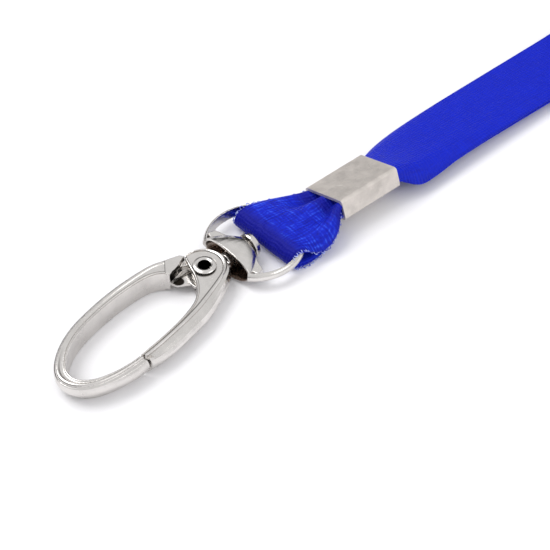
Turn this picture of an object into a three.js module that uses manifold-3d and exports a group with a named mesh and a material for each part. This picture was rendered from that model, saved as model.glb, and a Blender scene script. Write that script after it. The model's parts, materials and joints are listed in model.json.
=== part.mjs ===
// Lanyard badge holder: oval snap hook, swivel ring, crimped ribbon loop and neck ribbon.
// Millimetres, +Z up. The ribbon runs along +Y, the hook points along -Y, and everything
// lies on the plane Z = 0. The origin is the centre of the underside of the bounding box.
import * as THREE from 'three';
import { mergeVertices } from 'three/addons/utils/BufferGeometryUtils.js';
import Module from 'manifold-3d';

const wasm = await Module();
wasm.setup();

const GAP = 0.3; // clearance between pieces that touch

// Hook and gate
const HOOK_HEIGHT = 5;
const HOOK_YAW = 10; // degrees that the hook swings left of the ribbon's line
const EDGE_BREAK = 0.2;
const WALL_STEPS = 8; // facets down the outer wall
const WALL_TOP = 0.15; // share of the height above the outer wall
const RIDGE_WIDTH = 0.5; // raised inner edge of the rim
const BEAD_WIDTH = 0.9; // rounded outer edge of the rim
const HEAD_RADIUS = 4.4;
const CHEEK = 1.3; // thickness of each cheek of the gate's fork
const CHEEK_RECESS = 0.32;
const TONGUE_HEIGHT = HOOK_HEIGHT - 2 * (CHEEK + GAP);
const TONGUE_EYE_RADIUS = 3.2;
const NECK_STEP = 0.5;
const WEB_HALF_WIDTH = 1.5;
const SPRING_POCKET_RADIUS = 3.0;
const SPRING_POCKET_DEPTH = 1.1;

// Tubular rivet through the head
const RIVET_BORE = 1.25;
const RIVET_BARREL = 1.6;
const RIVET_FLANGE = 2.2;
const RIVET_FLANGE_THICKNESS = 0.35;
const RIVET_HOLE = RIVET_BARREL + GAP;
const COUNTERBORE_RADIUS = RIVET_FLANGE + GAP;
const COUNTERBORE_DEPTH = 0.7;

// Torsion spring
const SPRING_WIRE = 0.45;
const SPRING_RADIUS = 2.45;

// Swivel pin and ring, measured along the swivel axis from the rivet
const SWIVEL_YAW = 1.2;
const SWIVEL_Z = 2.6;
const PIN_RADIUS = 1.15;
const BOSS_RADIUS = 1.6;
const BOSS_START = 4.75;
const BOSS_END = 5.8;
const TAIL_RADIUS = 0.8;
const TAIL_START = 5.3;
const COLLAR_RADIUS = 1.65;
const COLLAR_START = BOSS_END + GAP;
const COLLAR_END = 6.9;
const CAP_START = 10.5;
const CAP_END = 11.9;
const CAP_RADIUS = 2.55;
const RING_WIRE_RADIUS = 1.1;
const RING_RADIUS = 8.5;
const RING_CENTRE = 12.1;
const RING_BAR = 17.8; // the far side is flattened for the ribbon
const HUB_END = 10.1;
const HUB_WALL = 0.55;
const BELL_SWEEP = 0.5; // how far back the mouth's sides lie behind its middle
const BELL_LEAN = 0.9; // how far the mouth's lower lip lies in front of its upper lip
const BELL_DEPTH = 2.45; // below the swivel axis, where the bell lies on the table
const WEB_THICKNESS = 1.7;

// Crimp sleeve
const CRIMP_WIDTH = 10.8;
const CRIMP_LENGTH = 13.9;
const CRIMP_THICKNESS = 4.2;
const CRIMP_WALL = 0.6;
const CRIMP_ROLL = 20.2;
const CRIMP_X = 1.75;
const CRIMP_START = 27.9;
const CRIMP_Z = 3.86;
const CRIMP_SEAM = 0.3;

// Ribbon
const RIBBON_WIDTH = 15;
const STRAP_THICKNESS = 1.4; // two strands lying together
const STRAP_X = 0.8;
const PACKED_WIDTH = CRIMP_WIDTH - 2 * (CRIMP_WALL + GAP);
const PACKED_THICKNESS = CRIMP_THICKNESS - 2 * (CRIMP_WALL + GAP);
const HANK_START = 106;
const HANK_LENGTH = 97;
const HANK_HEIGHT = 6.8;
const TIE_WIDTH = 9;
const TIE_THICKNESS = 0.5;
const HANK_Z = TIE_THICKNESS + GAP; // the tie passes under the hank
const TIE_CENTRE = HANK_START + HANK_LENGTH / 2;

const deg = THREE.MathUtils.degToRad;
const vec = (x, y, z) => new THREE.Vector3(x, y, z);

// ---------------------------------------------------------------- solids

// Six times the volume inside a closed indexed mesh; negative when its faces point inwards.
function signedVolume(geometry) {
  const position = geometry.getAttribute('position');
  const index = geometry.getIndex();
  const corners = [vec(0, 0, 0), vec(0, 0, 0), vec(0, 0, 0)];
  let total = 0;
  for (let i = 0; i < index.count; i += 3) {
    corners.forEach((corner, k) => corner.fromBufferAttribute(position, index.getX(i + k)));
    total += corners[0].dot(corners[1].clone().cross(corners[2]));
  }
  return total;
}

// Closed solid through loops of points that all go round the same way. Each end is a fan of
// triangles round the middle of its loop.
function loft(loops) {
  const size = loops[0].length;
  const last = (loops.length - 1) * size;
  const triangles = [];
  for (let j = 0; j < size; j += 1) {
    const next = (j + 1) % size;
    for (let row = 0; row < last; row += size) {
      triangles.push([row + j, row + next, row + next + size], [row + j, row + next + size, row + j + size]);
    }
    triangles.push([last + size, next, j], [last + size + 1, last + j, last + next]);
  }
  const ends = [loops[0], loops[loops.length - 1]];
  const middles = ends.map((loop) => loop.reduce((sum, p) => sum.add(p), vec(0, 0, 0)).divideScalar(size));
  const geometry = new THREE.BufferGeometry().setFromPoints([...loops.flat(), ...middles]);
  geometry.setIndex(triangles.flat());
  if (signedVolume(geometry) < 0) {
    geometry.setIndex(triangles.flatMap(([a, b, c]) => [a, c, b]));
  }
  return geometry;
}

function toManifold(geometry) {
  const bare = geometry.clone();
  bare.deleteAttribute('normal');
  bare.deleteAttribute('uv');
  const merged = mergeVertices(bare, 1e-4);
  return new wasm.Manifold(new wasm.Mesh({
    numProp: 3,
    vertProperties: new Float32Array(merged.getAttribute('position').array),
    triVerts: new Uint32Array(merged.getIndex().array),
  }));
}

function toGeometry(solid) {
  const mesh = solid.getMesh();
  const geometry = new THREE.BufferGeometry();
  geometry.setAttribute('position', new THREE.BufferAttribute(mesh.vertProperties, 3));
  geometry.setIndex(new THREE.BufferAttribute(mesh.triVerts, 1));
  return geometry;
}

// An outline in plan, standing from one height to another.
function prism(points, bottom, top) {
  const shape = new THREE.Shape(points.map(([x, y]) => new THREE.Vector2(x, y)));
  const geometry = new THREE.ExtrudeGeometry(shape, { depth: top - bottom, bevelEnabled: false });
  return toManifold(geometry.translate(0, 0, bottom));
}

function disc(radius, bottom, top, segments = 40) {
  const geometry = new THREE.CylinderGeometry(radius, radius, top - bottom, segments);
  geometry.rotateX(Math.PI / 2).translate(0, 0, (bottom + top) / 2);
  return toManifold(geometry);
}

// A turned piece: profile pairs are [distance along the axis, radius], the axis is +Y at height z.
function turned(profile, z, segments = 32) {
  const points = profile.map(([along, radius]) => new THREE.Vector2(radius, along));
  return new THREE.LatheGeometry(points, segments).translate(0, 0, z);
}

function roundRod(curve, radius, steps, sides) {
  const outline = new THREE.Shape().absarc(0, 0, radius, 0, Math.PI * 2);
  const points = outline.getPoints(sides).slice(0, sides);
  return new THREE.ExtrudeGeometry(new THREE.Shape(points), {
    steps, extrudePath: curve, bevelEnabled: false,
  });
}

// ---------------------------------------------------------------- hook and gate

// Vertical section of the hook between its inner wall and the outer edge of its rim: a flat
// inner wall, a low ridge, a sunk face, a bead, and an outer wall that bulges and turns under.
// A rim too narrow for the whole profile gets a narrower one.
function rimSection(inner, outer, bulge, under) {
  const across = outer.clone().sub(inner);
  const width = across.length();
  across.normalize();
  const at = (distance, z) => vec(inner.x + across.x * distance, inner.y + across.y * distance, z);
  const fit = Math.min(1, width / (RIDGE_WIDTH + BEAD_WIDTH));
  const ridge = RIDGE_WIDTH * fit;
  const bead = BEAD_WIDTH * fit;
  const loop = [
    at(EDGE_BREAK, 0),
    at(0, EDGE_BREAK),
    at(0, HOOK_HEIGHT - 0.4),
    at(ridge * 0.2, HOOK_HEIGHT - 0.15),
    at(ridge * 0.5, HOOK_HEIGHT - 0.08),
    at(ridge * 0.8, HOOK_HEIGHT - 0.15),
    at(ridge, HOOK_HEIGHT - CHEEK_RECESS),
    at(width - bead, HOOK_HEIGHT - CHEEK_RECESS),
    at(width - bead * 0.8, HOOK_HEIGHT - 0.1),
    at(width - bead * 0.5, HOOK_HEIGHT),
    at(width - bead * 0.2, HOOK_HEIGHT - 0.1),
    at(width, HOOK_HEIGHT - 0.36),
    at(width - 0.16, HOOK_HEIGHT - 0.56),
  ];
  for (let i = 0; i <= WALL_STEPS; i += 1) {
    const drop = WALL_TOP + ((1 - WALL_TOP) * i) / WALL_STEPS;
    const out = bulge * 4 * drop * (1 - drop) - under * drop ** 3;
    loop.push(at(Math.max(width + out, EDGE_BREAK + 0.15), HOOK_HEIGHT * (1 - drop)));
  }
  return loop;
}

// Sections along two rim edges. Each station is [inner x, inner y, outer x, outer y, bulge, under].
function rimLoft(stations, steps) {
  const track = (a, b) => new THREE.SplineCurve(stations.map((row) => new THREE.Vector2(row[a], row[b])));
  const [inner, outer, wall] = [track(0, 1), track(2, 3), track(4, 5)];
  const loops = [];
  for (let i = 0; i <= steps; i += 1) {
    const t = i / steps;
    const { x: bulge, y: under } = wall.getPoint(t);
    loops.push(rimSection(inner.getPoint(t), outer.getPoint(t), bulge, under));
  }
  return toManifold(loft(loops));
}

// From the nose that meets the gate, round the tip and up the left branch to the shoulder.
const BRANCH = [
  [5.2, -23.4, 6.05, -23.08, 1.05, 0.6],
  [4.95, -25.6, 5.75, -25.7, 1.2, 1.1],
  [4.1, -28.9, 4.95, -29.6, 1.0, 1.5],
  [2.6, -32.1, 3.2, -33.6, 0.7, 2.0],
  [0.3, -34.0, 0.6, -35.75, 0.5, 2.2],
  [-2.1, -33.8, -2.4, -35.9, 0.4, 2.1],
  [-4.0, -32.0, -5.0, -33.9, 0.5, 1.5],
  [-5.7, -29.3, -7.1, -30.4, 0.6, 1.1],
  [-6.85, -25.5, -8.5, -25.8, 0.7, 1.0],
  [-7.35, -20.0, -9.0, -20.0, 0.8, 1.0],
  [-7.2, -14.5, -8.95, -14.2, 0.8, 1.0],
  [-6.5, -9.5, -8.35, -8.8, 0.8, 1.0],
  [-5.6, -7.2, -7.7, -5.7, 0.7, 0.8],
  [-4.4, -5.8, -6.6, -3.5, 0.5, 0.6],
];

// From the nose, up the right side and round the head to its left edge.
const LEVER = [
  [5.2, -23.0, 6.1, -22.66, 1.15, 0.5],
  [5.25, -20.8, 6.25, -20.6, 1.6, 0.6],
  [5.3, -18.0, 6.3, -18.0, 1.85, 0.7],
  [5.25, -15.0, 6.25, -15.1, 1.95, 0.7],
  [5.0, -11.6, 6.2, -12.0, 1.95, 0.7],
  [4.3, -8.0, 5.95, -8.1, 1.85, 0.7],
  [3.0, -5.6, 5.3, -4.4, 1.6, 0.8],
  [1.5, -4.0, 4.5, -0.9, 1.4, 0.7],
  [0.3, -3.1, 3.6, 1.9, 0.9, 0.5],
  [-0.8, -2.45, 2.3, 3.5, 0.4, 0.2],
  [-1.8, -1.95, 0.6, 4.25, 0.2, 0.1],
  [-2.7, -1.5, -1.1, 4.2, 0.2, 0.1],
  [-3.4, -1.1, -2.7, 3.5, 0.2, 0.1],
  [-3.9, -0.8, -3.9, 2.1, 0.2, 0.1],
  [-4.2, -0.5, -4.4, 0.3, 0.15, 0.1],
];

// Lower, stepped-in neck between the shoulder and the head, in plan.
const NECK = [[-7.0, -3.6], [-4.6, -6.0], [-3.7, -5.4], [-4.2, -1.7], [-4.4, 0], [-5.6, -0.6]];

// Tongue that reaches from the neck in between the two cheeks of the fork.
const TONGUE = [[-5.6, -3.6], [-3.9, -5.4], [-2.4, -5.0], [-0.6, -2.9], [-0.4, 2.9], [-5.2, 0.4]];

// Opening in the tongue's upper side for the coil's leg.
const LEG_SLOT = [[-3.5, -6.6], [-4.1, -1.6], [-2.0, 0.6], [2.0, -3.4], [-1.0, -7.2]];

// Dark nick where the gate's nose meets the branch, cut into the gate's upper outer edge.
const NICK = [[5.75, -23.2], [6.35, -23.2], [6.9, -21.6], [6.35, -21.7]];
const NICK_DEPTH = 1.0;

// Points of a circle's arc, in degrees counted anticlockwise from +X.
function arcPoints(radius, from, to, count) {
  const points = [];
  for (let i = 0; i <= count; i += 1) {
    const angle = deg(from + ((to - from) * i) / count);
    points.push([radius * Math.cos(angle), radius * Math.sin(angle)]);
  }
  return points;
}

// Moves a shape made along +Y from the rivet onto the swivel axis of the hook.
const onSwivelAxis = (geometry) => toManifold(geometry.rotateZ(deg(SWIVEL_YAW - HOOK_YAW)));

function hookBody() {
  const low = (HOOK_HEIGHT - TONGUE_HEIGHT) / 2;
  const high = low + TONGUE_HEIGHT;
  const floor = high - SPRING_POCKET_DEPTH;
  const neck = prism(NECK, NECK_STEP, HOOK_HEIGHT - NECK_STEP).subtract(disc(HEAD_RADIUS + GAP, -1, HOOK_HEIGHT + 1));
  const web = new THREE.BoxGeometry(2 * WEB_HALF_WIDTH, HEAD_RADIUS + 1, TONGUE_HEIGHT);
  web.translate(0, (HEAD_RADIUS + 1) / 2, HOOK_HEIGHT / 2);
  const boss = turned([[BOSS_START, 0], [BOSS_START, BOSS_RADIUS], [BOSS_END, BOSS_RADIUS], [BOSS_END, 0]], SWIVEL_Z);
  const socketEnd = BOSS_END + 1;
  const socketRadius = TAIL_RADIUS + GAP;
  const socket = turned([[TAIL_START - GAP, 0], [TAIL_START - GAP, socketRadius], [socketEnd, socketRadius], [socketEnd, 0]], SWIVEL_Z);
  return toGeometry(
    disc(TONGUE_EYE_RADIUS, low, high)
      .add(prism(TONGUE, low, high))
      .add(onSwivelAxis(web))
      .subtract(disc(SPRING_POCKET_RADIUS, floor, high + 1))
      .subtract(prism(LEG_SLOT, floor, high + 1))
      .add(neck)
      .add(onSwivelAxis(boss))
      .add(rimLoft(BRANCH, 60))
      .subtract(disc(RIVET_HOLE, low - 1, high + 1))
      .subtract(onSwivelAxis(socket)),
  );
}

function gateLever() {
  const solid = rimLoft(LEVER, 56);
  const forkSweep = prism([[0, 0], ...arcPoints(7, 48, 276, 24)], CHEEK, HOOK_HEIGHT - CHEEK);
  const eyeRoom = disc(TONGUE_EYE_RADIUS + GAP, CHEEK, HOOK_HEIGHT - CHEEK);
  const nick = prism(NICK, HOOK_HEIGHT - NICK_DEPTH, HOOK_HEIGHT + 1);
  const bore = disc(RIVET_HOLE, -1, HOOK_HEIGHT + 1);
  const counterbore = disc(COUNTERBORE_RADIUS, -1, COUNTERBORE_DEPTH);
  return toGeometry(
    solid.subtract(forkSweep).subtract(eyeRoom).subtract(nick).subtract(bore).subtract(counterbore),
  );
}

function pivotRivet() {
  const top = HOOK_HEIGHT - CHEEK_RECESS + GAP;
  const tip = top + RIVET_FLANGE_THICKNESS;
  const foot = 0.05;
  const profile = [
    [foot, RIVET_BORE],
    [foot, RIVET_FLANGE],
    [foot + RIVET_FLANGE_THICKNESS, RIVET_FLANGE],
    [foot + RIVET_FLANGE_THICKNESS, RIVET_BARREL],
    [top, RIVET_BARREL],
    [top, RIVET_FLANGE - 0.05],
    [top + 0.12, RIVET_FLANGE],
    [tip - 0.1, RIVET_FLANGE - 0.15],
    [tip, RIVET_FLANGE - 0.45],
    [tip, RIVET_BORE + 0.25],
    [tip - 0.15, RIVET_BORE],
    [foot, RIVET_BORE],
  ];
  return turned(profile, 0, 40).rotateX(Math.PI / 2);
}

// Two and a half turns round the rivet, with a leg on the branch and a leg on the lever.
class SpringCurve extends THREE.Curve {
  constructor(bottom, pitch, from, turns) {
    super();
    this.set = { bottom, pitch, from, turns };
  }

  getPoint(t, target = new THREE.Vector3()) {
    const { bottom, pitch, from, turns } = this.set;
    const angle = from + t * turns * Math.PI * 2;
    const z = bottom + t * turns * pitch;
    return target.set(SPRING_RADIUS * Math.cos(angle), SPRING_RADIUS * Math.sin(angle), z);
  }
}

function gateSpring() {
  const bottom = (HOOK_HEIGHT + TONGUE_HEIGHT) / 2 - SPRING_POCKET_DEPTH + SPRING_WIRE / 2 + 0.08;
  const coil = new SpringCurve(bottom, SPRING_WIRE + 0.06, deg(190), 1.75);
  const start = coil.getPoint(0);
  const points = [vec(-3.2, -5.4, bottom), vec(-2.95, -3.8, bottom), vec(-2.7, -2.0, bottom), start];
  for (let i = 1; i <= 28; i += 1) {
    points.push(coil.getPoint(i / 28));
  }
  return roundRod(new THREE.CatmullRomCurve3(points), SPRING_WIRE / 2, 60, 6);
}

// ---------------------------------------------------------------- swivel

function swivelPin() {
  const profile = [
    [TAIL_START, 0],
    [TAIL_START, TAIL_RADIUS],
    [COLLAR_START, TAIL_RADIUS],
    [COLLAR_START, COLLAR_RADIUS],
    [COLLAR_END, COLLAR_RADIUS],
    [COLLAR_END, PIN_RADIUS],
    [CAP_START, PIN_RADIUS],
    [CAP_START, CAP_RADIUS - 0.1],
    [CAP_START + 0.25, CAP_RADIUS],
    [CAP_END - 0.35, CAP_RADIUS - 0.2],
    [CAP_END - 0.1, CAP_RADIUS - 0.8],
    [CAP_END, 0.9],
    [CAP_END, 0],
  ];
  return turned(profile, SWIVEL_Z, 32);
}

// Bell of the hub: half width, and height above the swivel axis, at distances along the axis.
// The mouth is wide enough to blend into the wire on both sides, and its sides sweep back.
const BELL = [
  [5.3, 6.4, 2.9],
  [6.2, 6.05, 2.9],
  [7.2, 5.45, 2.85],
  [8.2, 4.7, 2.7],
  [9.0, 3.95, 2.5],
  [9.7, 3.15, 2.25],
  [HUB_END, 2.6, 2.05],
];

// Flat web between the bell and the wire, one side of it.
const WEB = [[0, 5.9], [5.4, 6.2], [7.1, 6.9], [6.6, 8.3], [4.5, 8.9], [2.3, HUB_END], [0, HUB_END]];

// The bell, or the hollow inside it: inset from the outer shape, up to a fraction of its length,
// and starting some way in front of the mouth.
function bellSolid(inset, to, lead) {
  const width = new THREE.SplineCurve(BELL.map(([along, half]) => new THREE.Vector2(along, half)));
  const height = new THREE.SplineCurve(BELL.map((row) => new THREE.Vector2(row[0], row[2])));
  const steps = 13;
  const sides = 32;
  const loops = [];
  for (let i = 0; i <= steps; i += 1) {
    const across = width.getPoint((to * i) / steps);
    const tall = height.getPoint((to * i) / steps);
    const start = across.x - (i === 0 ? lead : 0);
    const loop = [];
    for (let j = 0; j < sides; j += 1) {
      const angle = (j / sides) * Math.PI * 2;
      const x = (across.y - inset) * Math.cos(angle);
      const rise = (angle < Math.PI ? tall.y : Math.min(tall.y, BELL_DEPTH)) - inset;
      const sweep = BELL_SWEEP * (x / BELL[0][1]) ** 2;
      const lean = BELL_LEAN * (1 - i / steps) * (Math.sin(angle) - 1) / 2;
      loop.push(vec(x, start + sweep + lean, SWIVEL_Z + rise * Math.sin(angle)));
    }
    loops.push(loop);
  }
  return toManifold(loft(loops));
}

// Centreline of the wire, from one shoulder round the flattened far side to the other shoulder.
function ringPath() {
  const onCircle = (centre, radius, angle) => (
    vec(centre.x + radius * Math.cos(angle), centre.y + radius * Math.sin(angle), 0)
  );
  const points = [];
  for (let angle = 230; angle >= 150; angle -= 8) {
    points.push(onCircle(vec(0, RING_CENTRE, 0), RING_RADIUS, deg(angle)));
  }
  const side = points[points.length - 1].x;
  points.push(vec(side + 0.7, RING_BAR - 0.5, 0), vec(side + 1.7, RING_BAR - 0.08, 0));
  const mirrored = points.map((p) => vec(-p.x, p.y, 0)).reverse();
  return new THREE.CatmullRomCurve3([...points, vec(0, RING_BAR, 0), ...mirrored], false, 'centripetal');
}

function swivelRing() {
  const wire = toManifold(roundRod(ringPath(), RING_WIRE_RADIUS, 60, 12).translate(0, 0, SWIVEL_Z));
  const mirroredWeb = WEB.slice(1, -1).map(([x, y]) => [-x, y]).reverse();
  const web = prism([...WEB, ...mirroredWeb], SWIVEL_Z - WEB_THICKNESS / 2, SWIVEL_Z + WEB_THICKNESS / 2);
  const bell = bellSolid(0, 1, 0).add(web);
  const hollow = bellSolid(HUB_WALL, 0.6, 2);
  const bore = turned([[4, 0], [4, PIN_RADIUS + GAP], [12, PIN_RADIUS + GAP], [12, 0]], SWIVEL_Z, 28);
  return toGeometry(wire.add(bell).subtract(hollow).subtract(toManifold(bore)));
}

// ---------------------------------------------------------------- crimp and ribbon

function roundedRect(width, height, radius) {
  const shape = new THREE.Shape();
  const [x, y] = [width / 2, height / 2];
  shape.absarc(x - radius, y - radius, radius, 0, Math.PI / 2);
  shape.absarc(-x + radius, y - radius, radius, Math.PI / 2, Math.PI);
  shape.absarc(-x + radius, -y + radius, radius, Math.PI, Math.PI * 1.5);
  shape.absarc(x - radius, -y + radius, radius, Math.PI * 1.5, Math.PI * 2);
  return shape;
}

function crimpSleeve() {
  const options = { depth: CRIMP_LENGTH, bevelEnabled: false, curveSegments: 4 };
  const outer = toManifold(new THREE.ExtrudeGeometry(roundedRect(CRIMP_WIDTH, CRIMP_THICKNESS, 0.7), options));
  const inside = roundedRect(CRIMP_WIDTH - 2 * CRIMP_WALL, CRIMP_THICKNESS - 2 * CRIMP_WALL, 0.35);
  const core = new THREE.ExtrudeGeometry(inside, { ...options, depth: CRIMP_LENGTH + 2 }).translate(0, 0, -1);
  const seam = new THREE.BoxGeometry(CRIMP_SEAM, CRIMP_WALL * 2, CRIMP_LENGTH + 2);
  seam.translate(-1.2, CRIMP_THICKNESS / 2, CRIMP_LENGTH / 2);
  const sleeve = outer.subtract(toManifold(core)).subtract(toManifold(seam));
  return toGeometry(sleeve).rotateX(-Math.PI / 2);
}

// Rounded flat section of the ribbon across its run.
function ribbonLoop([along, x, z, width, thickness, roll]) {
  const loop = [];
  const sides = 16;
  for (let i = 0; i < sides; i += 1) {
    const angle = ((i + 0.5) / sides) * Math.PI * 2;
    const across = (width / 2) * Math.sign(Math.cos(angle)) * Math.abs(Math.cos(angle)) ** 0.35;
    const up = (thickness / 2) * Math.sign(Math.sin(angle)) * Math.abs(Math.sin(angle)) ** 0.6;
    const turn = deg(roll);
    loop.push(vec(
      x + across * Math.cos(turn) - up * Math.sin(turn),
      along,
      z + across * Math.sin(turn) + up * Math.cos(turn),
    ));
  }
  return loop;
}

const CRIMP_MIDDLE = CRIMP_START + CRIMP_LENGTH / 2;

// Stations: along Y, centre X, centre Z, width, thickness, roll in degrees.
const LOOP_STATIONS = [
  [12.75, 0.3, 2.6, 12.4, 1.0, 0],
  [13.0, 0.3, 2.6, 12.6, 2.2, 0],
  [13.6, 0.3, 2.6, 12.8, 3.8, 0],
  [14.6, 0.3, 2.65, 13, 4.8, 0],
  [17.0, 0.3, 2.75, 13, 5.1, 0],
  [20.5, 0.8, 3.0, 15, 4.7, 5],
  [23.0, 1.1, 3.3, 14, 4.1, 10],
  [25.2, 1.4, 3.6, 12.2, 3.4, 16],
  [CRIMP_START - 0.6, 1.7, CRIMP_Z, PACKED_WIDTH, PACKED_THICKNESS, CRIMP_ROLL],
  [CRIMP_MIDDLE - GAP, CRIMP_X, CRIMP_Z, PACKED_WIDTH, PACKED_THICKNESS, CRIMP_ROLL],
];

const RUN_STATIONS = [
  [CRIMP_MIDDLE, CRIMP_X, CRIMP_Z, PACKED_WIDTH, PACKED_THICKNESS, CRIMP_ROLL],
  [CRIMP_START + CRIMP_LENGTH + 0.5, CRIMP_X, CRIMP_Z, PACKED_WIDTH, PACKED_THICKNESS, CRIMP_ROLL],
  [46, 1.6, 3.6, 12, 1.9, 16],
  [51, 1.35, 2.9, 14.4, 1.6, 12],
  [57, 1.15, 2.25, RIBBON_WIDTH, STRAP_THICKNESS, 9],
  [66, 1.0, 1.75, RIBBON_WIDTH, STRAP_THICKNESS, 7],
  [80, 0.9, 1.45, RIBBON_WIDTH, STRAP_THICKNESS, 5.5],
  [95, STRAP_X, 1.3, RIBBON_WIDTH, STRAP_THICKNESS, 4.5],
  [HANK_START - GAP, STRAP_X, HANK_Z + STRAP_THICKNESS / 2, RIBBON_WIDTH, STRAP_THICKNESS, 0],
];

// Side-on outline of the space inside the loop, which the ring's bar passes through.
const TUNNEL = [
  [14.1, 1.9], [14.6, 0.85], [19.6, 0.85], [25.4, 3.2], [25.4, 3.6], [19.6, 4.6], [14.6, 4.4], [14.1, 3.3],
];

function strapLoop() {
  const shape = new THREE.Shape(TUNNEL.map(([y, z]) => new THREE.Vector2(y, z)));
  const tunnel = new THREE.ExtrudeGeometry(shape, { depth: 24, bevelEnabled: false });
  tunnel.applyMatrix4(new THREE.Matrix4().set(0, 0, 1, -12, 1, 0, 0, 0, 0, 1, 0, 0, 0, 0, 0, 1));
  return toGeometry(toManifold(loft(LOOP_STATIONS.map(ribbonLoop))).subtract(toManifold(tunnel)));
}

// The rest of both strands, folded back and forth; its ends are the rounded folds.
function strapHank() {
  const radius = HANK_HEIGHT / 2 - 0.01;
  const shape = roundedRect(HANK_LENGTH, HANK_HEIGHT, radius);
  const options = { depth: RIBBON_WIDTH, bevelEnabled: false, curveSegments: 8 };
  const geometry = new THREE.ExtrudeGeometry(shape, options);
  geometry.rotateX(Math.PI / 2).rotateZ(Math.PI / 2);
  return geometry.translate(STRAP_X - RIBBON_WIDTH / 2, TIE_CENTRE, HANK_Z + HANK_HEIGHT / 2);
}

function hankTie() {
  const width = RIBBON_WIDTH + 2 * (GAP + TIE_THICKNESS);
  const height = HANK_HEIGHT + 2 * (GAP + TIE_THICKNESS);
  const options = { depth: TIE_WIDTH, bevelEnabled: false, curveSegments: 4 };
  const outer = toManifold(new THREE.ExtrudeGeometry(roundedRect(width, height, 1.2), options));
  const inside = roundedRect(width - 2 * TIE_THICKNESS, height - 2 * TIE_THICKNESS, 0.6);
  const core = new THREE.ExtrudeGeometry(inside, { ...options, depth: TIE_WIDTH + 2 }).translate(0, 0, -1);
  const band = toGeometry(outer.subtract(toManifold(core))).rotateX(-Math.PI / 2);
  return band.translate(STRAP_X, TIE_CENTRE - TIE_WIDTH / 2, HANK_Z + HANK_HEIGHT / 2);
}

// ---------------------------------------------------------------- assembly

const NICKEL = { color: 0xcbc8c4, roughness: 0.22, metalness: 1 };
const SATIN_NICKEL = { color: 0xc6c1b9, roughness: 0.38, metalness: 1 };
const STEEL = { color: 0xb9b6b0, roughness: 0.3, metalness: 1 };
const RIBBON = { color: 0x2330c4, roughness: 0.55, metalness: 0 };
const TIE = { color: 0xdfe0e2, roughness: 0.6, metalness: 0 };

function piece(name, geometry, look) {
  const mesh = new THREE.Mesh(geometry, new THREE.MeshStandardMaterial(look));
  mesh.name = name;
  return mesh;
}

function hookGroup() {
  const group = new THREE.Group();
  group.rotation.z = deg(HOOK_YAW);
  group.add(
    piece('hook_body', hookBody(), NICKEL),
    piece('gate_lever', gateLever(), NICKEL),
    piece('pivot_rivet', pivotRivet(), NICKEL),
    piece('gate_spring', gateSpring(), STEEL),
  );
  return group;
}

function swivelGroup() {
  const group = new THREE.Group();
  group.rotation.z = deg(SWIVEL_YAW);
  group.add(
    piece('swivel_pin', swivelPin(), NICKEL),
    piece('swivel_ring', swivelRing(), NICKEL),
  );
  return group;
}

function strapGroup() {
  const group = new THREE.Group();
  const crimp = piece('crimp_sleeve', crimpSleeve(), SATIN_NICKEL);
  crimp.position.set(CRIMP_X, CRIMP_START, CRIMP_Z);
  crimp.rotation.y = -deg(CRIMP_ROLL);
  group.add(
    crimp,
    piece('strap_loop', strapLoop(), RIBBON),
    piece('strap_run', loft(RUN_STATIONS.map(ribbonLoop)), RIBBON),
    piece('strap_hank', strapHank(), RIBBON),
    piece('hank_tie', hankTie(), TIE),
  );
  return group;
}

const badgeHolder = new THREE.Group();
badgeHolder.name = 'lanyard_badge_holder';
badgeHolder.add(hookGroup(), swivelGroup(), strapGroup());
badgeHolder.updateMatrixWorld(true);
const bounds = new THREE.Box3().setFromObject(badgeHolder, true);
const middle = bounds.getCenter(new THREE.Vector3());
badgeHolder.position.set(-middle.x, -middle.y, -bounds.min.z);

export default badgeHolder;
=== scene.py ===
"""Lanyard badge holder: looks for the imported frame. Metres, in the row frame.

Lengths marked mm are in the strap's own frame: the gate rivet is at x = y = 0, the ribbon runs
along +Y, the hook points along -Y, and z = 0 is the surface that everything lies on.
"""
import json
import math
import random

import bpy
import numpy as np
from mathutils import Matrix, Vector


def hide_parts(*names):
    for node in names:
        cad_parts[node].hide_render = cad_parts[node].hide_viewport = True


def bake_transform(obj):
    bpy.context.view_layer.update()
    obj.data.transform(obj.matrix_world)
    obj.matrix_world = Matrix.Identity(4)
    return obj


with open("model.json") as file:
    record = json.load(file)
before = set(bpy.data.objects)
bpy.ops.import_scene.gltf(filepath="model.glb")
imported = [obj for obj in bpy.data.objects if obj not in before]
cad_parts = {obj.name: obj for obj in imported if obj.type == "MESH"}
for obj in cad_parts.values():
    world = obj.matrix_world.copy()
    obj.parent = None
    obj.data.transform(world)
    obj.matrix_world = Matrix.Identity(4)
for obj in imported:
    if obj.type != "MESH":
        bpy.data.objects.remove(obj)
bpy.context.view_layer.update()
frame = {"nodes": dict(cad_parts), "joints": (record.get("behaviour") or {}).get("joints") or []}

MM = 0.001
GATE_PIVOT = next(j for j in frame["joints"] if j["name"] == "gate_pivot")["pos_m"]
STRAP_ORIGIN = np.array([GATE_PIVOT[0], GATE_PIVOT[1], 0.0])

# Camera
CAMERA_AIM = (6.634, 11.149, 0.0)  # mm
CAMERA_DISTANCE = 350.56  # mm
CAMERA_AZIMUTH = 49.13
CAMERA_ELEVATION = 46.94
CAMERA_LENS = 124.88
SENSOR = 36.0

# Surround: brightness by height (0 level, 1 overhead) on the two sides of the room
BRIGHT_SIDE = 112.0  # azimuth
DARK_SIDE = [(0.0, 0.02), (0.24, 0.03), (0.38, 0.50), (0.52, 0.95), (1.0, 1.0)]
PALE_SIDE = [(0.0, 0.92), (0.10, 0.94), (0.30, 0.97), (0.50, 1.0), (1.0, 1.0)]
SIDE_BLEND = (0.05, 0.60)  # cosines to the bright azimuth between which the two sides blend
SURROUND_STRENGTH = 0.86

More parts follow.
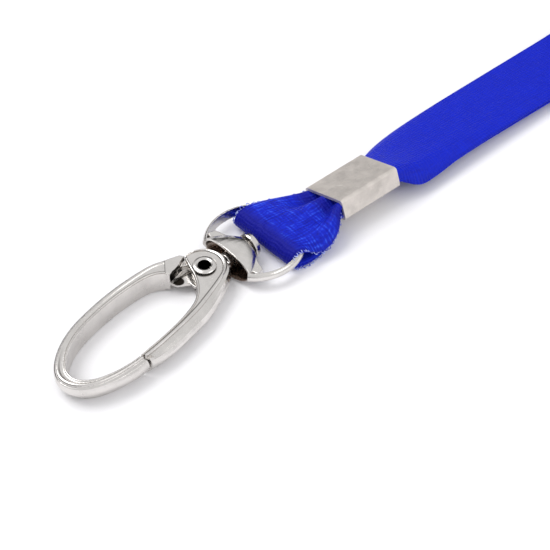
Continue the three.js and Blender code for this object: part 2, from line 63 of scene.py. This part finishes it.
# Lamps: azimuth, elevation, distance and size in metres, and watts
KEY_LAMP = (-62, 58, 0.75, (0.55, 0.45), 3.2)
FILL_LAMP = (110, 38, 0.9, (0.5, 0.35), 0.9)
LAMP_AIM = (4, 5, 2)  # mm
FLOOR_HALF = 2.0  # metres

# Metal, mm
SMOOTH_ANGLE = math.radians(35)
SKIN_VOXEL = 0.085  # of the remeshed castings
SKIN_PASSES = 4  # of smoothing
PLATE_BUMP = 0.02  # depth of the waves and pits
SATIN_BUMP = 0.04
RIVET_BORE = 1.25  # radius
NECK_POCKET = (-1.9, -4.6, 3.5)  # centre of the pocket between neck and head, whose plating is painted near black as shade
NECK_POCKET_RADII = (1.65, 1.65, 1.65)
BELL_HOLLOW = (0, 4.6, 2.6)  # centre of the ellipsoid that fills the bell's hollow, whose plating is painted dark brown as shade
BELL_HOLLOW_RADII = (6.1, 5.5, 2.62)

# Ribbon, mm
RIBBON_WIDTH = 15.0
PLY = 0.42  # thickness of one layer
PLY_OFFSET = 0.31  # each layer's middle from the middle of the pair
CRIMP_ROLL = 20.2  # degrees, right side up
CRIMP_START = 27.9
CRIMP_END = 41.8
PACKED_HALF = 4.75  # half width inside the sleeve
NOSE_SLANT = 0.05  # how much further back the loop's bend lies at its right end, per mm
PLEAT_PERIOD = 0.95  # in half widths
PLEAT_HEIGHT = 0.85
PLEAT_SHIFT = 0.05  # of the pleats to the left, in half widths
PLEAT_SINK = 0.55  # share of a pleat's height that lies below the layer's middle
RIGHT_DROOP = 2.5  # how far the loop's edges close in on each other before the sleeve
LEFT_DROOP = 0.8
SELVEDGE_BULGE = 0.12  # of the rounded selvedge, in steps across the mesh
SELVEDGE_REACH = 0.15  # of the rounded selvedge, in the weave's coordinates
# Painted shade at creases: place along the ribbon, depth, and how far the full and the last shade
# reach.
# The first is the bend over the ring's bar and the second the sleeve's mouth.
CREASES = [(29.3, 1.0, 2.1, 4.0), (43.5, 0.85, 0.5, 2.4)]
WARP_PITCH = 0.62
WEFT_PITCH = 0.68
WEAVE_BUMP = 0.1
WEAVE_FADE = (46, 66)  # along the ribbon, where the weave's contrast and painted sheen fall
PICOT_SPACING = 0.85  # of the loose thread loops along the selvedge
PICOT_REACH = 0.62
PICOT_HALF = 0.34  # half a loop's width
PICOT_THREAD = 0.1  # radius
PICOT_END = 47.0  # along the ribbon from its cut end
PICOT_CLEARANCE = 0.3  # from the sleeve
PICOT_SIDES = 5
PICOT_ARC = 9  # points along each loop
STRAP_X = 0.8
HANK_START = 106.0
HANK_LENGTH = 97.0
HANK_RUNS = 4
HANK_PITCH = 1.7
HANK_BOTTOM = 0.8
HANK_LEAD = 0.8  # from the run's end to the hank's first row

# Middle of the pair of layers: y, z, x, roll in degrees, share of the bend's slant, squeeze to
# the sleeve's width, pleats, how far the edges close in, and share of the far mouth's tuck.
LOOP_ROUTE = [
    (40.5, 3.15, 1.9, CRIMP_ROLL, 0, 1, 0, 0, 0),
    (34.0, 3.15, 1.9, CRIMP_ROLL, 0, 1, 0, 0, 0),
    (28.4, 3.15, 1.9, CRIMP_ROLL, 0, 1, 0.2, 0, 0),
    (25.8, 2.3, 1.7, 14, 0.1, 0.55, 0.1, 0.1, 0),
    (22.5, 1.15, 1.4, 5, 0.4, 0.08, 0, 0.1, 0),
    (18.5, 0.7, 1.15, 0, 0.8, 0, 0, 0, 0),
    (15.8, 0.66, 0.85, 0, 1, 0, 0, 0, 0),
    (14.25, 1.2, 0.7, 0, 1, 0, 0, 0, 0),
    (13.6, 2.45, 0.65, 0, 1, 0, 0, 0, 0),
    (14.2, 3.75, 0.65, 0, 1, 0, 0, 0, 0),
    (15.8, 4.4, 0.75, 0, 1, 0, 0, 0.08, 0),
    (18.5, 4.5, 1.15, 0, 0.9, 0, 0.06, 0.8, 0),
    (21.6, 4.5, 1.6, 4, 0.5, 0.06, 0.35, 1.1, 0),
    (24.8, 4.6, 1.65, 12, 0.15, 0.42, 1.0, 1.0, 0),
    (28.4, 4.55, 1.5, CRIMP_ROLL, 0, 1, 0.9, 0.1, 0),
    (34.0, 4.5, 1.5, CRIMP_ROLL, 0, 0.5, 0, 0, 0.5),
]
RUN_ROUTE = [
    (41.6, 4.5, 1.5, CRIMP_ROLL, 0, 0, 0, 0, 1),
    (43.6, 4.2, 1.35, 18.5, 0, 0, 0, 0.45, 0.72),
    (46.5, 3.6, 1.05, 16, 0, 0, 0, 1.1, 0.28),
    (50.5, 2.95, 0.85, 13, 0, 0, 0, 0.95, 0.08),
    (56.0, 2.4, 0.7, 10.5, 0, 0, 0, 0.55, 0.02),
    (66.0, 1.9, 0.6, 8, 0, 0, 0, 0.2, 0),
    (82.0, 1.5, 0.65, 5.5, 0, 0, 0, 0, 0),
    (97.0, 1.4, STRAP_X, 3, 0, 0, 0, 0, 0),
    (HANK_START, HANK_BOTTOM + HANK_PITCH / 2, STRAP_X, 0, 0, 0, 0, 0, 0),
]
ROUTE_STEP = 0.45  # between rows of the mesh near the sleeve
ACROSS_STEPS = 30
RUN_STEPS = 34  # along each straight run of the hank
FOLD_STEPS = 12  # round each of its folds
END_FOLD_STEPS = 9  # round the last fold, where one strand becomes the other

# Tucked section at the far mouth: place across from -1 to 1, then x and z in mm.
TUCK = [
    (-1, -5.0, -0.9),
    (-0.8, -4.45, 0.1),
    (0.0, -0.2, 0.3),
    (0.5, 3.6, 0.2),
    (0.7, 4.6, -0.3),
    (1, 4.8, -1.8),
]

# Colours, linear
NICKEL = (0.72, 0.695, 0.67, 1)
SATIN_NICKEL = (0.68, 0.63, 0.585, 1)
HOLLOW_SHADE_METAL = (0.24, 0.175, 0.14, 1)
# Painted shade of the deep recesses: the neck's pocket and the rivet's bore
SHADOWED_METAL = (0.020, 0.016, 0.013, 1)
SCUFFED_METAL = (0.42, 0.38, 0.34, 1)
SPRING_STEEL = (0.62, 0.60, 0.57, 1)
BLUE = (0.004, 0.017, 0.54, 1)
DEEP_BLUE = (0.003, 0.005, 0.27, 1)
SHEEN_HIGHLIGHT_BLUE = (0.05, 0.15, 0.95, 1)
THREAD_HIGHLIGHT_BLUE = (0.50, 0.58, 0.95, 1)
TIE_GREY = (0.62, 0.62, 0.63, 1)


def at(x, y, z):
    """A point of the strap's frame, in mm, as metres in the row frame."""
    return Vector(STRAP_ORIGIN + np.array([x, y, z]) * MM)


def direction(azimuth, elevation):
    a, e = math.radians(azimuth), math.radians(elevation)
    return Vector((math.sin(a) * math.cos(e), -math.cos(a) * math.cos(e), math.sin(e)))


# ---------------------------------------------------------------- camera, floor and light


def make_camera():
    data = bpy.data.cameras.new("camera")
    data.sensor_width = SENSOR
    data.lens = CAMERA_LENS
    data.clip_start = 0.01
    camera = bpy.data.objects.new("camera", data)
    bpy.context.scene.collection.objects.link(camera)
    towards = direction(CAMERA_AZIMUTH, CAMERA_ELEVATION)
    camera.location = at(*CAMERA_AIM) + towards * CAMERA_DISTANCE * MM
    camera.rotation_euler = towards.to_track_quat("Z", "Y").to_euler()
    bpy.context.scene.camera = camera


def make_floor():
    mesh = bpy.data.meshes.new("floor")
    corners = [(x * FLOOR_HALF, y * FLOOR_HALF, 0) for x, y in ((-1, -1), (1, -1), (1, 1), (-1, 1))]
    mesh.from_pydata(corners, [], [(0, 1, 2, 3)])
    floor = bpy.data.objects.new("floor", mesh)
    bpy.context.scene.collection.objects.link(floor)
    material, shader = new_material("floor")
    shader.inputs["Base Color"].default_value = (0.93, 0.925, 0.94, 1)
    shader.inputs["Roughness"].default_value = 0.9
    shader.inputs["Specular IOR Level"].default_value = 0.1
    mesh.materials.append(material)


def area_lamp(name, azimuth, elevation, distance, size, watts):
    data = bpy.data.lights.new(name, "AREA")
    data.shape = "RECTANGLE"
    data.size, data.size_y = size
    data.energy = watts
    lamp = bpy.data.objects.new(name, data)
    bpy.context.scene.collection.objects.link(lamp)
    towards = direction(azimuth, elevation)
    lamp.location = at(*LAMP_AIM) + towards * distance
    lamp.rotation_euler = towards.to_track_quat("Z", "Y").to_euler()


def side_share(tree, towards):
    """How far a direction is on the room's pale side, from 0 to 1."""
    side = tree.nodes.new("ShaderNodeVectorMath")
    side.operation = "DOT_PRODUCT"
    side.inputs[1].default_value = direction(BRIGHT_SIDE, 0)
    tree.links.new(towards, side.inputs[0])
    share = tree.nodes.new("ShaderNodeMapRange")
    share.interpolation_type = "SMOOTHSTEP"
    share.inputs["From Min"].default_value, share.inputs["From Max"].default_value = SIDE_BLEND
    tree.links.new(side.outputs["Value"], share.inputs["Value"])
    return share.outputs[0]


def wall_ramp(tree, height, stops):
    """Brightness of one side of the room by height."""
    ramp = tree.nodes.new("ShaderNodeValToRGB")
    while len(ramp.color_ramp.elements) < len(stops):
        ramp.color_ramp.elements.new(0.5)
    for element, (position, level) in zip(ramp.color_ramp.elements, stops):
        element.position = position
        element.color = (level, level, level * 1.01, 1)
    tree.links.new(height, ramp.inputs[0])
    return ramp.outputs["Color"]


def make_surround():
    """A room that is pale on one side, and dark low down on the other for the metal to reflect."""
    world = bpy.data.worlds.new("studio")
    world.use_nodes = True
    tree = world.node_tree
    tree.nodes.clear()
    towards = tree.nodes.new("ShaderNodeTexCoord").outputs["Generated"]
    split = tree.nodes.new("ShaderNodeSeparateXYZ")
    tree.links.new(towards, split.inputs[0])
    surround = tree.nodes.new("ShaderNodeMix")
    surround.data_type = "RGBA"
    tree.links.new(side_share(tree, towards), surround.inputs[0])
    for socket, stops in ((6, DARK_SIDE), (7, PALE_SIDE)):
        tree.links.new(wall_ramp(tree, split.outputs["Z"], stops), surround.inputs[socket])
    background = tree.nodes.new("ShaderNodeBackground")
    background.inputs["Strength"].default_value = SURROUND_STRENGTH
    tree.links.new(surround.outputs[2], background.inputs["Color"])
    output = tree.nodes.new("ShaderNodeOutputWorld")
    tree.links.new(background.outputs[0], output.inputs["Surface"])
    bpy.context.scene.world = world


def make_light():
    """A white studio: a soft key from behind on the left, a fill, and the surround."""
    area_lamp("key", *KEY_LAMP)
    area_lamp("fill", *FILL_LAMP)
    make_surround()
    bpy.context.scene.view_settings.view_transform = "Standard"


# ---------------------------------------------------------------- materials


def new_material(name):
    """A new material and its principled shader."""
    material = bpy.data.materials.new(name)
    material.use_nodes = True
    return material, material.node_tree.nodes["Principled BSDF"]


def darker(colour, share):
    return tuple(c * share for c in colour[:3]) + (1,)


class Nodes:
    """Short names for building one material's node tree."""

    def __init__(self, material, shader):
        self.tree = material.node_tree
        self.shader = shader
        self.place = self.add("ShaderNodeTexCoord").outputs["Object"]

    def add(self, kind, **settings):
        node = self.tree.nodes.new(kind)
        for key, value in settings.items():
            setattr(node, key, value)
        return node

    def link(self, output, socket):
        self.tree.links.new(output, socket)

    def noise(self, scale, detail, stretch=(1, 1, 1), roughness=0.55, place=None):
        """Noise whose scale is in cycles per metre of the row frame, or per unit of a place."""
        mapping = self.add("ShaderNodeMapping")
        mapping.inputs["Scale"].default_value = stretch
        noise = self.add("ShaderNodeTexNoise")
        noise.inputs["Scale"].default_value = scale
        noise.inputs["Detail"].default_value = detail
        noise.inputs["Roughness"].default_value = roughness
        self.link(place or self.place, mapping.inputs["Vector"])
        self.link(mapping.outputs[0], noise.inputs["Vector"])
        return noise.outputs["Fac"]

    def ramp(self, value, low, high, from_low=0.0, from_high=1.0):
        """Maps a value from one range to another, clamped."""
        node = self.add("ShaderNodeMapRange")
        node.inputs["From Min"].default_value = from_low
        node.inputs["From Max"].default_value = from_high
        node.inputs["To Min"].default_value = low
        node.inputs["To Max"].default_value = high
        self.link(value, node.inputs["Value"])
        return node.outputs[0]

    def maths(self, operation, a, b=0.0):
        node = self.add("ShaderNodeMath", operation=operation)
        for socket, value in zip(node.inputs, (a, b)):
            if isinstance(value, (int, float)):
                socket.default_value = value
            else:
                self.link(value, socket)
        return node.outputs[0]

    def total(self, a, share_a, b, share_b):
        """Shares of two values, added."""
        return self.maths("ADD", self.maths("MULTIPLY", a, share_a), self.maths("MULTIPLY", b, share_b))

    def mix(self, factor, a, b):
        node = self.add("ShaderNodeMix", data_type="RGBA")
        for socket, value in ((node.inputs[0], factor), (node.inputs[6], a), (node.inputs[7], b)):
            if isinstance(value, tuple):
                socket.default_value = value
            else:
                self.link(value, socket)
        return node.outputs[2]

    def bump(self, height, depth, strength):
        """Raises the surface by a height from 0 to 1, times a depth in mm."""
        node = self.add("ShaderNodeBump")
        node.inputs["Strength"].default_value = strength
        node.inputs["Distance"].default_value = depth * MM
        self.link(height, node.inputs["Height"])
        self.link(node.outputs[0], self.shader.inputs["Normal"])


def painted_shade_inside(nodes, base, centre, radii, shade_colour):
    """The base colour, changed to a painted shade colour inside an ellipsoid with these radii in mm."""
    away = nodes.add("ShaderNodeVectorMath", operation="SUBTRACT")
    nodes.link(nodes.place, away.inputs[0])
    away.inputs[1].default_value = centre
    share = nodes.add("ShaderNodeVectorMath", operation="DIVIDE")
    nodes.link(away.outputs["Vector"], share.inputs[0])
    share.inputs[1].default_value = [radius * MM for radius in radii]
    reach = nodes.add("ShaderNodeVectorMath", operation="LENGTH")
    nodes.link(share.outputs["Vector"], reach.inputs[0])
    return nodes.mix(nodes.ramp(reach.outputs["Value"], 1, 0, 0.93, 1), base, shade_colour)


def plated_metal(name, colour=NICKEL, roughness=0.17, dull=0.12, pocket=None):
    """Bright plate over a die casting: faint cloudiness, soft waviness and tiny pits.

    The plating is painted dark as shade inside a pocket: its centre, radii in mm, and colour.
    """
    material, shader = new_material(name)
    nodes = Nodes(material, shader)
    shader.inputs["Metallic"].default_value = 1.0
    cloud = nodes.noise(260, 3)
    wear = nodes.noise(1500, 5, roughness=0.7)
    base = nodes.mix(nodes.ramp(cloud, 0, 1, 0.35, 0.7), colour, darker(colour, 0.86))
    if pocket:
        # Painted shade inside the pocket
        base = painted_shade_inside(nodes, base, *pocket)
    nodes.link(base, shader.inputs["Base Color"])
    clouded = nodes.ramp(cloud, 0, dull, 0.4, 0.75)
    worn = nodes.ramp(wear, roughness, roughness + dull, 0.45, 0.8)
    nodes.link(nodes.maths("ADD", clouded, worn), shader.inputs["Roughness"])
    waves = nodes.noise(420, 2)
    pits = nodes.ramp(nodes.noise(2600, 3, roughness=0.7), 0, -1, 0.62, 0.75)
    nodes.bump(nodes.total(waves, 1, pits, 0.6), PLATE_BUMP, 0.6)
    return material


def satin_metal(name):
    """Brushed sleeve: fine lines along the ribbon, faint blotches, dents and scuffs."""
    material, shader = new_material(name)
    nodes = Nodes(material, shader)
    shader.inputs["Metallic"].default_value = 0.55
    lines = nodes.noise(700, 4, stretch=(9, 0.6, 9), roughness=0.65)
    blotch = nodes.ramp(nodes.noise(420, 4), 0, 1, 0.35, 0.7)
    scuff = nodes.ramp(nodes.noise(1100, 6, roughness=0.75), 0, 1, 0.56, 0.70)
    dents = nodes.ramp(nodes.noise(520, 1), 0, 1, 0.52, 0.60)
    base = nodes.mix(blotch, SATIN_NICKEL, darker(SATIN_NICKEL, 0.78))
    scuffed = nodes.mix(nodes.maths("MULTIPLY", scuff, 0.35), base, SCUFFED_METAL)
    nodes.link(scuffed, shader.inputs["Base Color"])
    matt = nodes.maths("ADD", nodes.ramp(lines, 0.30, 0.46), nodes.maths("MULTIPLY", scuff, 0.12))
    nodes.link(matt, shader.inputs["Roughness"])
    height = nodes.total(nodes.total(lines, 0.5, scuff, -0.5), 1, dents, -1.3)
    nodes.bump(height, SATIN_BUMP, 0.8)
    return material


def woven_ribbon(name):
    """Satin polyester ribbon: fine warp ribs crossed by weft, in the ribbon's own millimetres, with
    painted sheen highlights in its colour and painted shade at its creases.
    """
    material, shader = new_material(name)
    nodes = Nodes(material, shader)
    uv = nodes.add("ShaderNodeUVMap", uv_map="weave").outputs[0]
    split = nodes.add("ShaderNodeSeparateXYZ")
    nodes.link(uv, split.inputs[0])
    across, along = split.outputs["X"], split.outputs["Y"]

    def wave(value, period):
        return nodes.maths("SINE", nodes.maths("MULTIPLY", value, 2 * math.pi / period))

    def fabric_noise(scale, stretch, detail):
        return nodes.noise(scale, detail, stretch, 0.5, uv)

    wander = nodes.maths("MULTIPLY", fabric_noise(0.5, (1, 1, 1), 2), 1.2)
    warp = wave(nodes.maths("ADD", across, wander), WARP_PITCH)
    weft = wave(nodes.maths("ADD", along, wander), WEFT_PITCH)
    threads = fabric_noise(1.0, (2.2, 0.3, 1), 4)
    picks = fabric_noise(1.0, (0.25, 2.4, 1), 4)
    patches = nodes.ramp(fabric_noise(0.16, (1, 0.5, 1), 2), -0.2, 0.2, 0.35, 0.65)
    grid = nodes.total(warp, 0.5, weft, 0.5)
    thread_streaks = nodes.ramp(threads, -1, 1, 0.32, 0.68)
    pick_streaks = nodes.ramp(picks, -1, 1, 0.32, 0.68)
    streaks = nodes.total(thread_streaks, 1, pick_streaks, 0.8)
    nodes.bump(nodes.total(grid, 1, streaks, 0.5), WEAVE_BUMP, 0.6)
    # Thread tone and painted sheen: the deep to mid blue follows the weave's threads, and the light
    # blue is painted sheen highlight on the satin
    lit = nodes.maths("ADD", nodes.total(grid, 0.55, streaks, 0.75), patches)
    lit = nodes.maths("MULTIPLY", lit, nodes.ramp(along, 1, 0.25, *WEAVE_FADE))
    colour = nodes.mix(nodes.ramp(lit, 0, 1, -1.3, 0.3), DEEP_BLUE, BLUE)
    colour = nodes.mix(nodes.ramp(lit, 0, 0.75, 0.35, 1.6), colour, SHEEN_HIGHLIGHT_BLUE)
    # Painted shade, deepening to deep blue towards each crease
    for place, depth, full, end in CREASES:
        away = nodes.maths("ABSOLUTE", nodes.maths("SUBTRACT", along, place))
        colour = nodes.mix(nodes.ramp(away, depth, 0, full, end), colour, DEEP_BLUE)
    nodes.link(colour, shader.inputs["Base Color"])
    nodes.link(nodes.ramp(threads, 0.45, 0.65), shader.inputs["Roughness"])
    shader.inputs["Specular IOR Level"].default_value = 0.16
    shader.inputs["Sheen Weight"].default_value = 0.06
    shader.inputs["Sheen Roughness"].default_value = 0.35
    shader.inputs["Sheen Tint"].default_value = (0.15, 0.25, 1.0, 1)
    return material


def loose_thread(name):
    """Shiny filament of the little loops along the selvedge: blue, with pale patches of painted
    highlight.
    """
    material, shader = new_material(name)
    nodes = Nodes(material, shader)
    thread_glint = nodes.noise(1800, 2)
    colour = nodes.mix(nodes.ramp(thread_glint, 0, 1, 0.4, 0.6), BLUE, THREAD_HIGHLIGHT_BLUE)
    nodes.link(colour, shader.inputs["Base Color"])
    nodes.link(nodes.ramp(thread_glint, 0.3, 0.5), shader.inputs["Roughness"])
    return material


def elastic(name):
    """Knitted elastic of the tie: ribs along it, with a soft matt thread."""
    material, shader = new_material(name)
    nodes = Nodes(material, shader)
    ribs = nodes.noise(900, 3, stretch=(1, 2.5, 1))
    colour = nodes.mix(nodes.ramp(ribs, 0, 1, 0.35, 0.7), TIE_GREY, darker(TIE_GREY, 0.7))
    nodes.link(colour, shader.inputs["Base Color"])
    nodes.link(nodes.ramp(ribs, 0.65, 0.85), shader.inputs["Roughness"])
    nodes.bump(ribs, WEAVE_BUMP, 0.6)
    return material


# ---------------------------------------------------------------- metal pieces


def paint(node, material):
    """Gives a whole CAD node one material."""
    piece = frame["nodes"][node]
    piece.data.materials.clear()
    piece.data.materials.append(material)
    for polygon in piece.data.polygons:
        polygon.material_index = 0
    return piece


def cast(node, material):
    """Paints a CAD node and gives it the soft edges of a plated casting."""
    piece = paint(node, material)
    skin = piece.modifiers.new("skin", "REMESH")
    skin.mode = "VOXEL"
    skin.voxel_size = SKIN_VOXEL * MM
    skin.use_smooth_shade = True
    soften = piece.modifiers.new("soften", "SMOOTH")
    soften.factor = 0.5
    soften.iterations = SKIN_PASSES


def dress(node, material, bevel=0.0):
    """Paints a CAD node, with smooth faces up to an angle, and fine rounded edges in mm."""
    piece = paint(node, material)
    for polygon in piece.data.polygons:
        polygon.use_smooth = True
    piece.data.set_sharp_from_angle(angle=SMOOTH_ANGLE)
    if bevel:
        rounded = piece.modifiers.new("edge", "BEVEL")
        rounded.width = bevel * MM
        rounded.segments = 2
        rounded.limit_method = "ANGLE"
        rounded.angle_limit = SMOOTH_ANGLE
        rounded.harden_normals = True


def blacken_bore(rivet):
    """Gives the wall of the rivet's bore its own near-black material, painted shade for the deep hole.
    """
    rivet.data.materials.append(plated_metal("painted_shade_bore", SHADOWED_METAL, 0.35, 0.2))
    for polygon in rivet.data.polygons:
        away = Vector(polygon.center[:2]) - Vector(GATE_PIVOT[:2])
        if away.length < RIVET_BORE * MM * 1.02:  # just more than the bore, for rounding
            polygon.material_index = 1


def dress_metal():
    nickel = plated_metal("nickel_plate")
    # Painted shade: the hook's plating near black in the pocket between neck and head
    neck = (at(*NECK_POCKET), NECK_POCKET_RADII, SHADOWED_METAL)
    cast("hook_body", plated_metal("nickel_hook", pocket=neck))
    dress("gate_lever", nickel)
    # Painted shade: the ring's plating dark brown inside the bell's hollow
    hollow = (at(*BELL_HOLLOW), BELL_HOLLOW_RADII, HOLLOW_SHADE_METAL)
    cast("swivel_ring", plated_metal("nickel_ring", pocket=hollow))
    for node in ("pivot_rivet", "swivel_pin"):
        dress(node, nickel, 0.08)
    blacken_bore(frame["nodes"]["pivot_rivet"])
    dress("crimp_sleeve", satin_metal("satin_nickel"), 0.16)
    dress("gate_spring", plated_metal("spring_wire", SPRING_STEEL, 0.2, 0.1))
    dress("hank_tie", elastic("elastic"), 0.1)


# ---------------------------------------------------------------- ribbon


def catmull_rom(rows, step):
    """Smooth rows of numbers through the given ones, about step apart in the first two columns."""
    rows = np.array(rows, float)
    padded = np.vstack([2 * rows[0] - rows[1], rows, 2 * rows[-1] - rows[-2]])
    result = []
    for i in range(1, len(padded) - 2):
        before, start, end, after = padded[i - 1:i + 3]
        count = max(2, round(float(np.linalg.norm((end - start)[:2])) / step))
        for t in np.arange(count) / count:
            result.append(0.5 * (
                2 * start + (end - before) * t
                + (2 * before - 5 * start + 4 * end - after) * t ** 2
                + (3 * start - before - 3 * end + after) * t ** 3
            ))
    result.append(rows[-1])
    return np.array(result)


def hank_route():
    """Both strands folded back and forth between the hank's two ends."""
    rows = []
    radius = HANK_PITCH / 2
    low, high = HANK_START, HANK_START + HANK_LENGTH
    for run in range(HANK_RUNS):
        z = HANK_BOTTOM + HANK_PITCH * (run + 0.5)
        start, end = (low, high) if run % 2 == 0 else (high, low)
        inset = (radius + PLY_OFFSET + PLY / 2) * (1 if run % 2 == 0 else -1)
        y0 = start + (inset if run else HANK_LEAD)
        y1 = end - inset
        for t in np.linspace(0, 1, RUN_STEPS):
            rows.append((y0 + (y1 - y0) * t, z, STRAP_X, 0, 0, 0, 0, 0, 0))
        if run < HANK_RUNS - 1:
            for angle in np.linspace(0, math.pi, FOLD_STEPS)[1:-1]:
                rows.append((
                    y1 + math.copysign(radius * math.sin(angle), inset),
                    z + radius * (1 - math.cos(angle)), STRAP_X, 0, 0, 0, 0, 0, 0,
                ))
    return np.array(rows)


def cross_sections(route):
    """Each row's section before it is turned: places across the ribbon and heights, in mm."""
    v = np.linspace(-1, 1, ACROSS_STEPS + 1)
    squeeze, pleat, closing, far = (route[:, [i]] for i in range(5, 9))
    flat = 1 - squeeze - far
    folds = PLEAT_HEIGHT * (np.cos(2 * math.pi * (v + PLEAT_SHIFT) / PLEAT_PERIOD) - PLEAT_SINK)
    droop = -closing * v ** 6 * np.where(v > 0, RIGHT_DROOP, LEFT_DROOP)
    tuck_v, tuck_x, tuck_z = np.array(TUCK).T
    sx = (flat * RIBBON_WIDTH / 2 + squeeze * PACKED_HALF) * v + far * np.interp(v, tuck_v, tuck_x)
    sz = pleat * folds + droop + far * np.interp(v, tuck_v, tuck_z)
    return sx, sz


def pair_surface():
    """Grid of points midway between the two layers, and its unit normals, in mm."""
    route = np.vstack([catmull_rom(LOOP_ROUTE + RUN_ROUTE, ROUTE_STEP), hank_route()])
    sx, sz = cross_sections(route)
    y, z, x, roll, nose = (route[:, [i]] for i in range(5))
    along = np.gradient(route[:, :2], axis=0)
    along /= np.linalg.norm(along, axis=1, keepdims=True)
    upward = np.stack([-along[:, 1], along[:, 0]], axis=1)  # left of the route, in y and z
    turn = np.radians(roll)
    side = np.cos(turn) * sx - np.sin(turn) * sz * np.sign(upward[:, [1]])
    rise = np.sin(turn) * sx * np.sign(upward[:, [1]]) + np.cos(turn) * sz
    points = np.stack([
        x + side,
        y + rise * upward[:, [0]] + nose * NOSE_SLANT * side,
        z + rise * upward[:, [1]],
    ], axis=2)
    normals = np.cross(np.gradient(points, axis=1), np.gradient(points, axis=0))
    normals /= np.linalg.norm(normals, axis=2, keepdims=True)
    return points, normals


def ribbon_rows():
    """Rows of the whole ribbon's two faces: out along one layer, round the neck fold, and back."""
    points, normals = pair_surface()
    outer, inner = PLY_OFFSET + PLY / 2, PLY_OFFSET - PLY / 2
    out = [(points + normals * outer), (points + normals * inner)]
    back = [(points - normals * outer)[::-1], (points - normals * inner)[::-1]]
    ahead = points[-1] - points[-2]
    ahead /= np.linalg.norm(ahead, axis=1, keepdims=True)
    fold = [[], []]
    for angle in np.linspace(0, math.pi, END_FOLD_STEPS)[1:-1]:
        radial = normals[-1] * math.cos(angle) + ahead * math.sin(angle)
        fold[0].append(points[-1] + radial * outer)
        fold[1].append(points[-1] + radial * inner)
    return [np.concatenate([out[k], np.array(fold[k]), back[k]]) for k in (0, 1)]


def thread_loop(edge, along, outward, reach, lean):
    """Points of one little loop of thread, ring by ring, in mm."""
    across = np.cross(along, outward)
    points = []
    for i in range(PICOT_ARC):
        turn = math.pi * (i / (PICOT_ARC - 1) * 1.2 - 0.1)
        ray = along * math.cos(turn) * 0.9 + outward * math.sin(turn)
        centre = edge + along * PICOT_HALF * math.cos(turn)
        centre = centre + (outward + across * lean) * reach * math.sin(turn)
        for angle in np.arange(PICOT_SIDES) * 2 * math.pi / PICOT_SIDES:
            spoke = ray * math.cos(angle) + across * math.sin(angle)
            points.append((centre + PICOT_THREAD * spoke).tolist())
    return points


def thread_faces(first):
    """Faces of one little loop whose points start at a number, with its two ends closed."""
    last = first + (PICOT_ARC - 1) * PICOT_SIDES
    faces = []
    for row in range(first, last, PICOT_SIDES):
        for j in range(PICOT_SIDES):
            a, b = row + j, row + (j + 1) % PICOT_SIDES
            faces.append((a, b, b + PICOT_SIDES, a + PICOT_SIDES))
    faces.append(tuple(range(first, first + PICOT_SIDES))[::-1])
    faces.append(tuple(range(last, last + PICOT_SIDES)))
    return faces


def picots(middle, length, column, points, faces, coordinates):
    """Adds little loops of loose thread along one edge of the ribbon, outside the sleeve."""
    inward = 1 if column == 0 else -1
    chance = random.Random(column)
    place = 1.0
    while place < PICOT_END:
        place += PICOT_SPACING * chance.uniform(0.7, 1.3)
        row = int(np.searchsorted(length, place))
        edge = middle[row, column]
        outward = edge - middle[row, column + inward]
        outward /= np.linalg.norm(outward)
        along = middle[row + 1, column] - middle[row - 1, column]
        along /= np.linalg.norm(along)
        if CRIMP_START - PICOT_CLEARANCE < edge[1] < CRIMP_END + PICOT_CLEARANCE:
            continue
        reach = PICOT_REACH * chance.uniform(0.5, 1.2)
        lean = chance.uniform(-0.3, 0.3)
        loop = thread_faces(len(points))
        points += thread_loop(edge, along, outward, reach, lean)
        faces += loop
        coordinates += [(0, place)] * sum(len(face) for face in loop)


def strip_faces(rows, count, columns):
    """Faces of the closed strip, then of its two ends, as pairs of row and place round it."""
    for i in range(rows - 1):
        for j in range(count):
            k = (j + 1) % count
            yield (i, j), (i, k), (i + 1, k), (i + 1, j)
    for row, turn in ((0, -1), (rows - 1, 1)):
        for j in range(columns - 1):
            corners = (j, j + 1, count - 3 - j, count - 2 - j)
            yield tuple((row, corner) for corner in corners[::turn])
        for corners in ((columns - 1, columns, columns + 1), (count - 2, count - 1, 0)):
            yield tuple((row, corner) for corner in corners[::turn])


def ribbon_mesh(upper, lower):
    """Closed strip from its two faces, with a rounded selvedge and the weave's coordinates."""
    rows, columns = upper.shape[:2]
    middle = (upper + lower) / 2
    left = middle[:, 0] + (middle[:, 0] - middle[:, 1]) * SELVEDGE_BULGE
    right = middle[:, -1] + (middle[:, -1] - middle[:, -2]) * SELVEDGE_BULGE
    ring = np.concatenate([upper, right[:, None], lower[:, ::-1], left[:, None]], axis=1)
    count = ring.shape[1]
    steps = np.linalg.norm(np.diff(middle[:, columns // 2], axis=0), axis=1)
    length = np.concatenate([[0], np.cumsum(steps)])
    half = RIBBON_WIDTH / 2
    face = np.linspace(-half, half, columns)
    tip = half + SELVEDGE_REACH
    across = np.concatenate([face, [tip], face[::-1], [-tip]])
    points = ring.reshape(-1, 3).tolist()
    faces = []
    coordinates = []
    for corners in strip_faces(rows, count, columns):
        faces.append([row * count + corner for row, corner in corners])
        coordinates += [(across[corner], length[row]) for row, corner in corners]
    woven = len(faces)
    for side in (0, columns - 1):
        picots(middle, length, side, points, faces, coordinates)
    mesh = bpy.data.meshes.new("strap_ribbon")
    mesh.from_pydata((np.array(points) * MM + STRAP_ORIGIN).tolist(), [], faces)
    for polygon in mesh.polygons[woven:]:
        polygon.material_index = 1
    layer = mesh.uv_layers.new(name="weave")
    layer.data.foreach_set("uv", np.array(coordinates, np.float32).ravel())
    mesh.shade_smooth()
    return mesh


def make_ribbon():
    ribbon = bpy.data.objects.new("strap_ribbon", ribbon_mesh(*ribbon_rows()))
    bpy.context.scene.collection.objects.link(ribbon)
    ribbon.data.materials.append(woven_ribbon("ribbon"))
    ribbon.data.materials.append(loose_thread("selvedge_thread"))
    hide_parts("strap_loop", "strap_run", "strap_hank")
    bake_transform(ribbon)


make_camera()
make_floor()
make_light()
dress_metal()
make_ribbon()
